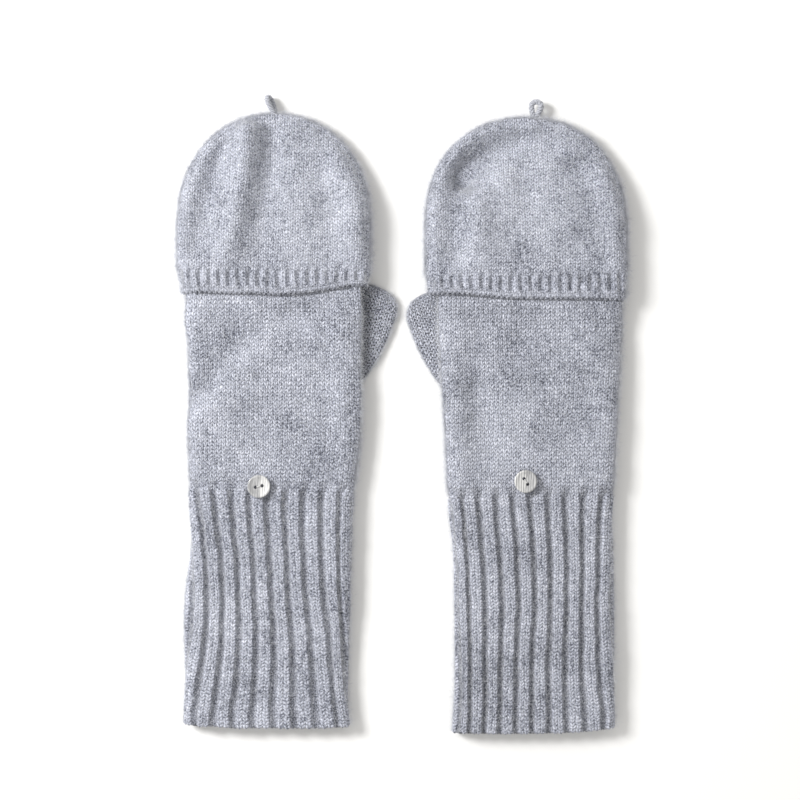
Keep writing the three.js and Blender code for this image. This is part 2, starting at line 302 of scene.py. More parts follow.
def above_table(grid):
    grid[..., 2] = np.maximum(grid[..., 2], TABLE_GAP)


def through(xs, ys, x):
    """A smooth curve through given points (Catmull-Rom), with straight ends."""
    xs, ys = np.array(xs, float), np.array(ys, float)
    slopes = np.gradient(ys, xs)
    x = np.clip(np.asarray(x, float), xs[0], xs[-1])
    i = np.clip(np.searchsorted(xs, x) - 1, 0, len(xs) - 2)
    gap = xs[i + 1] - xs[i]
    t = (x - xs[i]) / gap
    rise = slopes[i] * gap * t * (1 - t) ** 2 - slopes[i + 1] * gap * t * t * (1 - t)
    return ys[i] + (ys[i + 1] - ys[i]) * t * t * (3 - 2 * t) + rise


def noise(x, y, size, seed):
    """Soft seeded noise from -1 to 1 with features of about that size."""
    grid = np.random.RandomState(seed).uniform(-1, 1, (64, 64))
    x, y = np.asarray(x) / size + 31.7, np.asarray(y) / size + 17.3
    i, j = np.floor(x).astype(int), np.floor(y).astype(int)
    s, t = smooth(x - i), smooth(y - j)
    at = lambda a, b: grid[a % 64, b % 64]
    low = at(i, j) * (1 - s) + at(i + 1, j) * s
    high = at(i, j + 1) * (1 - s) + at(i + 1, j + 1) * s
    return low * (1 - t) + high * t


def creases(name, x, y):
    """The height that the folds and hollows named give at each place; each fades along its line."""
    total = np.zeros_like(x)
    for points, height, width in CREASES[name]:
        points = np.array(points, float)
        nearest = np.full(x.shape, 1e9)
        along_line = np.zeros_like(x)
        for k, (a, b) in enumerate(zip(points, points[1:])):
            step = b - a
            t = np.clip(((x - a[0]) * step[0] + (y - a[1]) * step[1]) / (step @ step), 0, 1)
            away = np.hypot(x - a[0] - step[0] * t, y - a[1] - step[1] * t)
            along_line = np.where(away < nearest, (k + t) / (len(points) - 1), along_line)
            nearest = np.minimum(nearest, away)
        total += height * (1 - 0.5 * along_line**2) * np.exp(-((nearest / width) ** 2))
    return total


def thumb_lift(x, y):
    """How far the cloth is raised by the thumb below it, wherever the thumb can turn to."""
    dx, dy = x - THUMB_ROOT[0], y - THUMB_ROOT[1]
    bearing = np.clip(np.arctan2(dx, dy), THUMB_LEAN - THUMB_SWING[0], THUMB_LEAN + THUMB_SWING[1])
    ax, ay = np.sin(bearing), np.cos(bearing)
    along = np.clip(dx * ax + dy * ay, 7, THUMB_LENGTH - THUMB_HALF)
    away = np.hypot(dx - ax * along, dy - ay * along) - THUMB_HALF
    return THUMB_LIFT * (1 - smooth(away / 14))


class Mitten:
    """One mitten: its side's settings, its materials, and its own frame as the cap's hinge gives it."""

    def __init__(self, name, materials):
        hinge = next(j for j in frame["joints"] if j["name"] == f"{name}_cap_flip")
        self.name = name
        self.materials = materials
        self.side = SIDES[name]
        self.mirror = name == "right"
        turn = -1 if self.mirror else 1
        self.origin = np.array([hinge["pos_m"][0], hinge["pos_m"][1], 0])
        self.fold_height = hinge["pos_m"][2] / MM
        axis = np.array(hinge["axis"])
        self.axes = np.array([turn * axis, [-axis[1], axis[0], 0], [0, 0, 1]])
        outline = np.array(self.side["outline"])
        self.outline = outline[:, 0], outline[:, 1], outline[:, 2]

    def place(self, points):
        """Points in the mitten's own frame, in millimetres, as metres in the shared frame."""
        return self.origin + np.asarray(points) @ self.axes * MM

    def edges(self, y):
        """The outer and the thumb-side edge of the hand and cuff."""
        ys, outer, thumb = self.outline
        return through(ys, outer, y), through(ys, thumb, y)

    def seam(self, x):
        """How far the cap's mouth lies from the fold line."""
        xs, ys = zip(*self.side["seam"])
        return through(xs, ys, x)

    def drift(self, y):
        """How far the wales have slipped round the tube, at the outer side, the middle and the thumb side."""
        ys, *shifts = zip(*self.side["ribs"][::-1])
        return [through(ys, shift, y) for shift in shifts]

    def material(self, kind):
        """The material of that kind: this side's own, or else the one that both sides share."""
        return self.materials.get(f"{self.name}_{kind}") or self.materials[kind]

    def heights(self, node):
        """The lowest and highest point of one of its CAD nodes, in millimetres."""
        return [corner[2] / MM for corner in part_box(f"{self.name}_{node}")]

    def fit(self, piece, body, slot, *nodes):
        """Rides a piece on one of the mitten's bodies, in place of the CAD nodes named.
        Pieces on the cap and on its loop get a mesh of their own, and what is on the cap goes with it."""
        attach(piece, f"{self.name}_{body}")
        if nodes:
            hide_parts(*(f"{self.name}_{node}" for node in nodes))
        if body in ("flip_cap", "tip_loop"):
            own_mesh(piece)


# ---- Meshes from grids of points


def normals_of(grid):
    """Unit normals of a grid closed along u (rows along v, columns along u), pointing to its outer side."""
    du = np.roll(grid, -1, 1) - np.roll(grid, 1, 1)
    dv = np.gradient(grid, axis=0)
    n = np.cross(dv, du)
    return n / np.maximum(np.linalg.norm(n, axis=2, keepdims=True), 1e-9)


def add_mesh(mitten, name, points, faces, uvs, kind):
    """A smooth-shaded piece from points in the mitten's own frame, quads (or triangles) and one UV pair
    per face corner."""
    name = f"{mitten.name}_{name}"
    mesh = bpy.data.meshes.new(name)
    if mitten.mirror:
        faces = faces[:, ::-1]
        uvs = None if uvs is None else uvs[:, ::-1]
    mesh.vertices.add(len(points))
    mesh.vertices.foreach_set("co", mitten.place(points).astype(np.float32).ravel())
    mesh.loops.add(faces.size)
    mesh.loops.foreach_set("vertex_index", faces.astype(np.int32).ravel())
    mesh.polygons.add(len(faces))
    mesh.polygons.foreach_set("loop_start", np.arange(0, faces.size, faces.shape[1], dtype=np.int32))
    mesh.polygons.foreach_set("use_smooth", np.ones(len(faces), bool))
    if uvs is not None:
        layer = mesh.uv_layers.new(name="stitches")
        layer.data.foreach_set("uv", uvs.astype(np.float32).ravel())
    mesh.update(calc_edges=True)
    mesh.validate()
    mesh.materials.append(mitten.material(kind))
    made = bpy.data.objects.new(name, mesh)
    bpy.context.scene.collection.objects.link(made)
    return made


def quads(uv, rows, columns, wrap_rows):
    """Corner indices and UVs of the quads of a grid of rows x columns vertices closed along u."""
    count = rows if wrap_rows else rows - 1
    j, i = np.meshgrid(np.arange(count), np.arange(columns), indexing="ij")
    j, i = j.ravel(), i.ravel()
    corners = [(j, i), (j + 1, i), (j + 1, i + 1), (j, i + 1)]
    faces = np.stack([(a % rows) * columns + b % columns for a, b in corners], 1)
    return faces, np.stack([uv[a, b] for a, b in corners], 1)


def add_knit(mitten, name, grid, uv, kind, pouch=False):
    """A piece from a grid closed along u. A tube's wall is closed along v too; a pouch's ends are filled."""
    faces, coords = quads(uv, *grid.shape[:2], not pouch)
    if pouch:
        faces, coords = faces[:, ::-1], coords[:, ::-1]
    made = add_mesh(mitten, name, grid.reshape(-1, 3), faces, coords, kind)
    if pouch:
        close_holes(made)
    return made


def close_holes(obj):
    """Closes what is still open in a mesh, with its faces pointing out."""
    b = bmesh.new()
    b.from_mesh(obj.data)
    bmesh.ops.holes_fill(b, edges=[e for e in b.edges if e.is_boundary], sides=0)
    bmesh.ops.recalc_face_normals(b, faces=b.faces)
    for face in b.faces:
        face.smooth = True
    b.to_mesh(obj.data)
    b.free()


# ---- Stitches and flat knitted tubes


def slant(u):
    """How many courses a stitch stands above its row at wale u: its legs make a V."""
    return 2 * SLANT * (np.abs(u % 1 - 0.5) - 0.25)


def levelled(rows, courses=2.5):
    """1 along a tube's rows of vertices, falling to 0 at its last one, where its edge is level."""
    return smooth((rows[-1] - rows) / ROWS / courses)[:, None]


def stitches(u, phase):
    """The relief of stockinette at wale u and course phase, the phase following the legs' slant."""
    beside = np.abs(u % 1 - 0.5)
    leg = np.maximum(np.abs(np.sin(2 * math.pi * beside)) ** 0.6, 0.45 - 1.8 * beside)
    row = np.abs(np.sin(math.pi * phase))
    return RELIEF * (leg * (0.25 + 0.75 * row) - 0.45)


def rib(wale, repeat, share, edge):
    """0 in the purled furrow and 1 on the knitted rib, at a wale count."""
    from_middle = np.abs((wale % repeat) / repeat - 0.5)
    return smooth((share / 2 + edge - from_middle) / (2 * edge))


def across(values, xi):
    """A smooth spread over xi from -1 to 1 of values at the outer side, the middle and the thumb side."""
    outer, centre, thumb = values
    return centre + (thumb - outer) / 1.2 * xi + (thumb + outer - 2 * centre) / 0.72 * xi**2


class Section:
    """One row of a flat tube: from its thumb-side edge over the top to its outer edge and back below.
    low and high give the heights of its two faces at x."""

    POINTS = 161  # along each face

    def __init__(self, low, high, left, right, fold, power=EDGE_POWER):
        half, middle = (right - left) / 2, (right + left) / 2
        fold = min(fold, half)
        turn = np.linspace(0, math.pi, self.POINTS)
        xs, zs = [], []
        for sign in (1, -1):
            x = middle + sign * half * np.cos(turn)
            inward = np.clip((half - np.abs(x - middle)) / fold, 0, 1)
            rise = np.maximum(1 - (1 - inward) ** power, 0) ** (1 / power)
            bottom, top = low(x), high(x)
            xs.append(x)
            zs.append((bottom + top) / 2 + sign * (top - bottom) / 2 * rise)
        self.x = np.concatenate([xs[0], xs[1][1:]])
        self.z = np.concatenate([zs[0], zs[1][1:]])
        self.s = walked(np.hypot(np.diff(self.x), np.diff(self.z)))
        self.length = self.s[-1]
        self.top = self.s[self.POINTS - 1]
        self.middle = np.interp(-middle, -self.x[: self.POINTS], self.s[: self.POINTS])

    def at(self, s):
        """x and z at a length s along the cloth."""
        s = s % self.length
        return np.interp(s, self.s, self.x), np.interp(s, self.s, self.z)


def skin_rows(ys, sections, counts):
    """A grid of points from sections at ys and, for each section, the lengths along it."""
    rows = []
    for y, part, s in zip(ys, sections, counts):
        x, z = part.at(s)
        rows.append(np.stack([x, np.full_like(x, y), z], 1))
    return np.stack(rows)


def laid(base):
    """A skin's x, y and normals, and 1 where it faces up, falling to 0 round its edges and below."""
    n = normals_of(base)
    return base[..., 0], base[..., 1], n, smooth((n[..., 2] - 0.2) / 0.6)


def with_lining(outer, uv, thickness, lining_rows):
    """Closes an open tube's grid into a wall: its outer skin, a rounded rim, its lining and the other rim."""
    inner = outer - normals_of(outer) * thickness
    picks = np.unique(np.linspace(0, len(outer) - 1, lining_rows).round().astype(int))[::-1]
    rims = []
    for end, beside in ((-1, -9), (0, 8)):
        out = unit(outer[end] - outer[beside]) * thickness * TUBE_LIP
        rims.append((outer[end] + inner[end]) / 2 + out)
    grid = np.concatenate([outer, rims[0][None], inner[picks], rims[1][None]])
    above_table(grid)
    return grid, np.concatenate([uv, uv[-1:], uv[picks], uv[:1], uv[:1]])


def as_pouch(skin, uv, thickness, lining_rows):
    """A tube closed at its last row: its outer skin from the tip to the mouth, a rim and its lining."""
    inner = skin - normals_of(skin) * thickness
    picks = np.unique(np.linspace(0, len(skin) - 4, lining_rows).round().astype(int))
    rim = (skin[0] + inner[0]) / 2 + unit(skin[0] - skin[8]) * thickness * POUCH_LIP
    grid = np.concatenate([skin[::-1], rim[None], inner[picks]])
    above_table(grid)
    return grid, np.concatenate([uv[::-1], uv[:1], uv[picks]])


def stitch_uv(u, v):
    """UVs that count wales and courses, with the last column repeated for the closing quads."""
    u = np.broadcast_to(u, (len(v), u.shape[-1]))
    return np.stack([u, np.concatenate([v, v[:, :1]], 1)], 2)


def tube_uv(wales, count, courses):
    """The UVs of a tube with that many wales round it."""
    return stitch_uv(np.concatenate([wales, wales[:1] + count])[None], courses)


# ---- Cuff and hand: one tube, parted where the rib ends


def glove_wales():
    """Where the columns of vertices stand: close together over the back, sparse underneath."""
    return np.concatenate([np.arange(-5, 44, 1 / COLUMNS), np.arange(44, GLOVE_WALES - 5, 0.5)])


def squeezed(wales):
    """How far, in wales, the rib's purled wales close up and its knitted ones spread."""
    phase = (wales % RIB_REPEAT) / RIB_REPEAT
    purled = (1 - RIB_KNITTED) / 2
    return (np.interp(phase, [0, 0.25, 0.75, 1], [0, purled, 1 - purled, 1]) - phase) * RIB_REPEAT


def glove_heights(y):
    """The heights of the tube's two faces at y, as functions of x."""
    near_cap = smooth((y + 16) / 13)
    at_button = math.exp(-(((y + 95) / 22) ** 2))
    over_thumb = smooth((y + 96) / 14)
    low = lambda x: CLOTH_FLOOR + HAND_RAISED * near_cap + thumb_lift(x, y) * over_thumb
    high = lambda x: HAND_TOP + 0.75 * near_cap + 0.5 * at_button
    return low, high


def finger_places():
    """Where the four fingers' middles and the three gaps between them stand across the hand."""
    widths = np.array([width for _, width, _ in FINGERS])
    half = (widths.sum() + FINGER_GAP * (len(widths) - 1)) / 2
    ends = half - np.cumsum(widths + FINGER_GAP)
    return ends + FINGER_GAP + widths / 2, ends[:-1] + FINGER_GAP / 2


def glove_skin(mitten, first, last):
    """The outer skin of cuff or hand between two vertex rows, with ribs, stitches and folds, and its UVs."""
    wales = glove_wales()
    rows = np.arange(first, last + 1)
    courses = np.where(rows < 0, CUFF_COURSE, HAND_COURSE)
    ys = JOIN + rows / ROWS * courses
    sections, counts = [], []
    for y in ys:
        outer, thumb = mitten.edges(y)
        part = Section(*glove_heights(y), outer, thumb, EDGE_FOLD)
        drift = mitten.drift(y)
        spread = wales + squeezed(wales) * smooth((RIB_START + 1 - y) / 5)
        s = even = spread * part.length / GLOVE_WALES
        for _ in range(4):
            xi = (part.at(s)[0] - (outer + thumb) / 2) / ((thumb - outer) / 2)
            s = even - across(drift, xi) + 2.4 * smooth((xi - 0.8) / 0.15) * smooth((RIB_START - y) / 8)
        sections.append(part)
        counts.append(s)
    base = skin_rows(ys, sections, counts)
    x, y, n, on_back = laid(base)
    seed = mitten.side["seed"]
    ribbed = smooth((RIB_START - y) / 3.5)
    wobble = 0.12 * noise(wales, y, 7, seed + 5)
    ribs = rib(wales[None], RIB_REPEAT, 0.5, 0.075)
    amount = ribbed * ((RIB_DEPTH + wobble) * ribs - 0.68 * RIB_DEPTH)
    folds = creases(f"{mitten.name}_glove", x, y)
    folds = folds + 1.9 * noise(x, y, 27, seed) + 0.4 * noise(x, y, 12, seed + 1)
    folds = folds * (1 - 0.85 * smooth((y + 14) / 10))
    button = button_frame(mitten)[0]
    folds = folds * (1 - np.exp(-((x - button[0]) ** 2 + (y - button[1]) ** 2) / BUTTON_FLAT**2))
    amount = amount + on_back * folds * (1 - 0.75 * ribbed)
    amount = amount + (1 - on_back) * 0.2 * noise(x, y, 12, seed + 2)
    for gap in finger_places()[1]:
        amount = amount - 1.7 * on_back * np.exp(-(((x - gap) / 1.6) ** 2)) * smooth((y - 1) / 5)
    raised = slant(wales) * (levelled(rows) if last > 0 else levelled(-rows[::-1])[::-1])
    amount = amount + stitches(wales[None], rows[:, None] / ROWS + raised - slant(wales))
    grid = base + n * amount[..., None]
    grid[..., 1] += courses[:, None] * raised + 0.35 * noise(x, y, 6, seed + 6)
    grid[..., 0] += on_back * 0.3 * noise(x, y, 5, seed + 7)
    above_table(grid)
    return grid, tube_uv(wales, GLOVE_WALES, rows[:, None] / ROWS + raised)


CUFF_FIRST = round((CUFF_END - JOIN) * ROWS / CUFF_COURSE)
HAND_LAST = round((HAND_END - JOIN) * ROWS / HAND_COURSE)


def add_cuff(mitten):
    skin, uv = glove_skin(mitten, CUFF_FIRST, 0)
    outer, thumb = mitten.edges(CUFF_END)
    xi = (skin[..., 0] - (outer + thumb) / 2) / ((thumb - outer) / 2)
    near_end = smooth((CUFF_END + 12 - skin[..., 1]) / 12)
    skin[..., 1] += near_end * (1.3 * xi**2 - 0.4)
    made = add_knit(mitten, "knit_cuff", *with_lining(skin, uv, *WALLS["cuff"]), "rib")
    mitten.fit(made, "mitten", "rib_knit", "cuff", "cuff_edge")
    return skin


def add_hand(mitten):
    skin, uv = glove_skin(mitten, 0, HAND_LAST)
    made = add_knit(mitten, "knit_hand", *with_lining(skin, uv, *WALLS["hand"]), "plain")
    mitten.fit(made, "mitten", "plain_knit", "hand")
    return skin


# ---- The cap and its band


def cap_outline(mitten, t):
    """y, half width and middle of the cap for t from 0, at the mouth, over 1, where the dome starts, to 2."""
    side = mitten.side
    y = DOME_START * np.clip(t, 0, 1)
    mouth_half = (side["mouth"][1] - side["mouth"][0]) / 2
    mouth_middle = (side["mouth"][1] + side["mouth"][0]) / 2
    widened = smooth(y / 13)
    half = mouth_half + (side["cap_half"] - mouth_half) * widened
    middle = mouth_middle + (side["cap_middle"] - mouth_middle) * widened
    angle = np.clip(t - 1, 0, 1) * math.pi / 2 * 0.9975
    power = side["dome_power"]
    dome_y = DOME_START + (side["cap_tip"] - DOME_START) * np.sin(angle) ** (2 / power)
    dome_half = side["cap_half"] * np.cos(angle) ** (2 / power)
    return np.where(t > 1, dome_y, y), np.where(t > 1, dome_half, half), middle


def cap_rows(mitten, count):
    """Values of t for rows that are evenly spaced along the cap, and closer where its outline turns in."""
    t = np.linspace(0, 2, 4001)
    y, half, _ = cap_outline(mitten, t)
    reached = walked(np.abs(np.diff(y)) + 0.22 * np.abs(np.diff(half)))
    return np.interp(np.linspace(0, reached[-1], count), reached, t)


def cap_section(mitten, t):
    """One row of the cap. Past the dome's start its faces close towards each other at the rim."""
    side = mitten.side
    y, half, middle = (float(v) for v in cap_outline(mitten, np.array(t)))
    sag = smooth((y - 38) / 30)
    floor = lambda x: CLOTH_FLOOR + thumb_lift(x, y)

    def closing(x):
        if y < DOME_START:
            return 1
        inward = np.clip(rim_distance(mitten, x, y) / EDGE_FOLD, 0, 1)
        return np.maximum(1 - (1 - inward) ** EDGE_POWER, 0) ** (1 / EDGE_POWER)

    rim = lambda x: CAP_RIM - 1.9 * sag + 0.5 * (floor(x) - CLOTH_FLOOR)
    low = lambda x: rim(x) - closing(x) * (rim(x) - floor(x))
    high = lambda x: rim(x) + closing(x) * (CAP_TOP - 4.1 * sag - rim(x))
    return y, Section(low, high, middle - half, middle + half, EDGE_FOLD if y < DOME_START else 3)


def cap_skin(mitten, ts):
    """The outer skin of the cap from the mouth to the tip, with band, stitches and folds, and its UVs."""
    side = mitten.side
    rows = [cap_section(mitten, t) for t in ts]
    ys = np.array([y for y, _ in rows])
    counts, wales = [], []
    for _, part in rows:
        over = np.linspace(0, part.top, CAP_COLUMNS[0] + 1)[:-1]
        under = np.linspace(part.top, part.length, CAP_COLUMNS[1] + 1)
        s = np.concatenate([over, under])
        counts.append(s[:-1])
        wales.append((s - part.middle) / CAP_WALE + 60 + side["band_shift"])
    base = skin_rows(ys, [part for _, part in rows], counts)
    wales = np.stack(wales)
    x, y, n, on_back = laid(base)
    seed = side["seed"] + 20
    u = wales[:, :-1]
    ribbed = smooth((BAND - 1.6 - y) / 1.6) * smooth((y - 2.4) / 0.8)
    from_rim = rim_distance(mitten, x, y)
    folds = creases(f"{mitten.name}_cap", x, y)
    folds = folds + 0.8 * noise(x, y, 24, seed) + 0.3 * noise(x, y, 11, seed + 1)
    folds = folds * smooth(y / 9) * smooth(from_rim / 7)
    amount = on_back * folds + (1 - on_back) * 0.2 * noise(x, y, 12, seed + 2)
    amount = amount + ribbed * (1.2 * rib(u, BAND_REPEAT, 0.55, 0.13) - 0.85 - 0.3 * (1 - on_back))
    amount = amount + 0.8 * stitches(u, y / CAP_COURSE - slant(u))
    beside_rim = np.exp(-(((from_rim - 2.5) / 0.8) ** 2))
    amount = amount - 0.5 * on_back * smooth((y - 16) / 12) * beside_rim
    grid = base + n * amount[..., None]
    mouth = 1 - smooth(y / 10)
    chain = (1 - smooth(y / 1.8)) * np.cos(2 * math.pi * u)
    grid[..., 1] += mouth * mitten.seam(x) - 0.5 * chain + on_back * 0.35 * noise(x, y, 6, seed + 6)
    grid[..., 0] += on_back * smooth(y / 4) * 0.3 * noise(x, y, 5, seed + 7)
    grid[..., 2] -= on_back * (0.35 * chain + 0.7 * (1 - smooth(y / 3)))
    above_table(grid)
    return grid, stitch_uv(wales, y / CAP_COURSE)


def rim_distance(mitten, x, y):
    """Roughly how far inside the cap's outline a point lies."""
    side = mitten.side
    reach = np.clip((y - DOME_START) / (side["cap_tip"] - DOME_START), 0, 1)
    power = side["dome_power"]
    rho = (np.abs(x - side["cap_middle"]) / side["cap_half"]) ** power + reach**power
    return (1 - np.clip(rho, 0, 1) ** (1 / power)) * side["cap_half"]


def add_cap(mitten):
    ts = cap_rows(mitten, CAP_ROWS)
    split = int(np.searchsorted(ts, BAND / DOME_START))
    skin, uv = cap_skin(mitten, ts)
    band = with_lining(skin[: split + 1], uv[: split + 1], *WALLS["band"])
    made = add_knit(mitten, "knit_band", *band, "band")
    mitten.fit(made, "flip_cap", "rib_knit", "cap_band_back", "cap_band_palm")
    pouch = as_pouch(skin[split:], uv[split:], *WALLS["cap"])
    made = add_knit(mitten, "knit_cap", *pouch, "cap", pouch=True)
    mitten.fit(made, "flip_cap", "plain_knit", "cap_back", "cap_palm")
    return skin


# ---- Thumb and fingers


def thumb_skin():
    """The thumb's outer skin along +Y from its root, in the thumb's own frame, and its UVs."""
    wales = np.arange(0, THUMB_WALES, 1 / COLUMNS)
    tip = THUMB_LENGTH - 0.9
    rows = np.arange(0, int((tip - 1.5) * ROWS / THUMB_COURSE))
    closing = tip - 1.5 * (1 - np.sin(np.linspace(0.1, math.pi / 2, 9)))
    ys = np.concatenate([rows * THUMB_COURSE / ROWS, closing])
    sections = []
    for y in ys:
        widen = 7 + (THUMB_HALF - 7) * smooth(y / 28)
        fullness = 2.9 * math.sin(math.pi * np.clip((y - 18) / 50, 0, 1))

        def rounding(radius):
            past = np.clip((y - (tip + 0.2 - radius)) / radius, 0, 1)
            return radius * (1 - math.sqrt(1 - past * past))

        thin = math.sqrt(max(1 - np.clip((y - (tip - 7)) / 7, 0, 1) ** 2.3, 0.02))
        low = lambda x: THUMB_MIDDLE - THUMB_THICK * thin
        high = lambda x: THUMB_MIDDLE + THUMB_THICK * thin
        left, right = -widen + rounding(THUMB_OUTER), widen - rounding(THUMB_INNER) + fullness
        sections.append(Section(low, high, left, right, 5))
    base = skin_rows(ys, sections, [wales * part.length / THUMB_WALES for part in sections])
    fade = smooth((tip - base[..., 1]) / 3)
    amount = 0.18 * noise(base[..., 0], base[..., 1], 8, 41) - 0.1
    amount = amount + 0.8 * stitches(wales[None], base[..., 1] / THUMB_COURSE) * fade
    grid = base + normals_of(base) * amount[..., None]
    grid[..., 1] += THUMB_COURSE * slant(wales) * fade
    grid[..., 2] = np.clip(grid[..., 2], TABLE_GAP, THUMB_TOP)
    return grid, tube_uv(wales, THUMB_WALES, base[..., 1] / THUMB_COURSE + slant(wales))


def add_thumb(mitten):
    grid, uv = thumb_skin()
    c, s = math.cos(THUMB_LEAN), math.sin(THUMB_LEAN)
    x, y = grid[..., 0].copy(), grid[..., 1].copy()
    grid[..., 0] = x * c + y * s + THUMB_ROOT[0]
    grid[..., 1] = -x * s + y * c + THUMB_ROOT[1]
    made = add_knit(mitten, "knit_thumb", *as_pouch(grid, uv, *WALLS["thumb"]), "thumb", pouch=True)
    mitten.fit(made, "thumb_tube", "plain_knit", "thumb")
    return grid


def add_fingers(mitten):
    """Four half fingers, open at the top, each with a narrow ribbed edge."""
    wales = np.arange(0, FINGER_WALES, 1 / COLUMNS)
    for count, ((name, width, length), middle) in enumerate(zip(FINGERS, finger_places()[0])):
        rows = np.arange(round((length + FINGER_SUNK) * ROWS / HAND_COURSE) + 1)
        ys = HAND_END - FINGER_SUNK + rows * HAND_COURSE / ROWS
        edge = HAND_END + length - 5
        sections = []
        for y in ys:
            half = width / 2 - 0.35 + 0.25 * smooth((y - edge) / 3)
            low = lambda x: FINGER_FLOOR + thumb_lift(x, y)
            high = lambda x: FINGER_TOP
            sections.append(Section(low, high, middle - half, middle + half, 3.8, 2.1))
        base = skin_rows(ys, sections, [wales * part.length / FINGER_WALES for part in sections])
        edging = smooth((base[..., 1] - edge) / 1.2)
        raised = slant(wales) * levelled(rows)
        amount = 0.8 * stitches(wales[None], rows[:, None] / ROWS + raised - slant(wales)) - 0.05
        amount = amount + edging * (0.5 * rib(wales[None], 2, 0.5, 0.2) - 0.35)
        amount = amount + 0.12 * noise(base[..., 0], base[..., 1], 7, 50 + count)
        grid = base + normals_of(base) * amount[..., None]
        grid[..., 1] += HAND_COURSE * raised
        uv = tube_uv(wales, FINGER_WALES, rows[:, None] / ROWS + raised)
        made = add_knit(mitten, f"knit_{name}", *with_lining(grid, uv, *WALLS["finger"]), "plain")
        mitten.fit(made, "mitten", "plain_knit", name)


# ---- Cords: the loop, the seam's stitches and the button's thread

PLIES = 3
PLY_PITCH = 5.4
PLY_OFFSET = 0.76
PLY_RADIUS = 0.68
SEAM_HALF = 38.5
SEAM_STITCH = 1.55


def sweep(path, radius, sides=8):
    """A round cord along a path: its vertices, quads and a UV pair per corner. radius may vary along it."""
    radius = np.broadcast_to(radius, len(path))
    tangent = unit(np.gradient(path, axis=0))
    normal = np.cross(tangent[0], [0.3, 0.5, 0.8])
    normals = []
    for t in tangent:
        normal = unit(normal - t * (normal @ t))
        normals.append(normal)
    normals = np.array(normals)
    binormals = np.cross(tangent, normals)
    angle = (np.arange(sides) / sides * 2 * math.pi)[None, :, None]
    ring = normals[:, None] * np.cos(angle) + binormals[:, None] * np.sin(angle)
    grid = path[:, None] + ring * radius[:, None, None]
    uv = np.zeros((len(path) + 1, sides + 1, 2))
    uv[..., 0] = np.arange(sides + 1) / sides * 2
    uv[:-1, :, 1] = walked(np.linalg.norm(np.diff(path, axis=0), axis=1))[:, None]
    faces, coords = quads(uv, len(path), sides, False)
    return grid.reshape(-1, 3), faces[:, ::-1], coords[:, ::-1]


def add_cords(mitten, name, cords, kind):
    """Several swept cords, in the mitten's own frame, as one piece with closed ends."""
    points, faces, coords = zip(*cords)
    starts = np.cumsum([0] + [len(p) for p in points[:-1]])
    faces = np.concatenate([f + start for f, start in zip(faces, starts)])
    made = add_mesh(mitten, name, np.concatenate(points), faces, np.concatenate(coords), kind)
    close_holes(made)
    return made


def turned(points, turn, lean):
    """Points turned about +Y and then leant about +Z, in degrees."""
    a, b = math.radians(turn), math.radians(lean)
    x, y, z = points[:, 0], points[:, 1], points[:, 2]
    x, z = x * math.cos(a) + z * math.sin(a), -x * math.sin(a) + z * math.cos(a)
    return np.stack([x * math.cos(b) - y * math.sin(b), x * math.sin(b) + y * math.cos(b), z], 1)


def add_loop(mitten):
    """The loop at the tip: one turn of a cord twisted from three plies."""
    side = mitten.side
    t = np.linspace(0, 1, 110)
    x = -2.7 * np.sin(2 * math.pi * t) * (0.6 + 0.4 * np.sin(math.pi * t))
    y = side["loop_length"] * np.sin(math.pi * t) ** 0.9 - 1.6
    path = np.stack([x, y, 0 * t], 1)
    up = np.array([0, 0, 1])
    sideways = np.cross(unit(np.gradient(path, axis=0)), up)
    length = walked(np.linalg.norm(np.diff(path, axis=0), axis=1))
    cords = []
    for ply in range(PLIES):
        angle = (2 * math.pi * length / PLY_PITCH + ply * 2 * math.pi / PLIES)[:, None]
        strand = path + PLY_OFFSET * (np.cos(angle) * sideways + np.sin(angle) * up)
        strand = turned(strand, side["loop_turn"], side["loop_lean"])
        strand = strand + [side["loop_x"], side["cap_tip"] - 0.6, 4.4]
        cords.append(sweep(strand, PLY_RADIUS + 0.08 * np.sin(9 * length), 10))
    made = add_cords(mitten, "twisted_loop", cords, "cord")
    mitten.fit(made, "tip_loop", "plain_knit", "cap_loop")


def add_seam(mitten):
    """The row of linking stitches below the band, one slanted stitch after the other."""
    t = np.linspace(0, 1, 7)
    arch = np.sin(math.pi * t)
    cords = []
    for x in np.arange(-SEAM_HALF, SEAM_HALF, SEAM_STITCH):
        y = mitten.seam(x) - 1.15
        path = np.stack([x + 1.5 * t, y - 0.3 + 0.7 * t, 10.35 + 0.6 * arch], 1)
        cords.append(sweep(path, 0.1 + 0.18 * arch, 6))
    made = add_cords(mitten, "linking_stitches", cords, "seam")
    mitten.fit(made, "mitten", "sewing_yarn", "cap_seam")


# ---- Button

BUTTON_RADIUS = 5.75
BUTTON_FLAT = 9  # how far round the button the cloth below it lies without folds
HOLE_RADIUS = 0.85
HOLE_REACH = 1.65
HOLLOW = 0.42  # depth of the dish in the button's face


def button_frame(mitten):
    """The button's middle, in the mitten's own frame, and the heights of its underside and face."""
    middle = np.mean(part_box(f"{mitten.name}_button"), axis=0)
    local = (middle - mitten.origin) @ mitten.axes.T / MM
    return local[:2], *mitten.heights("button")


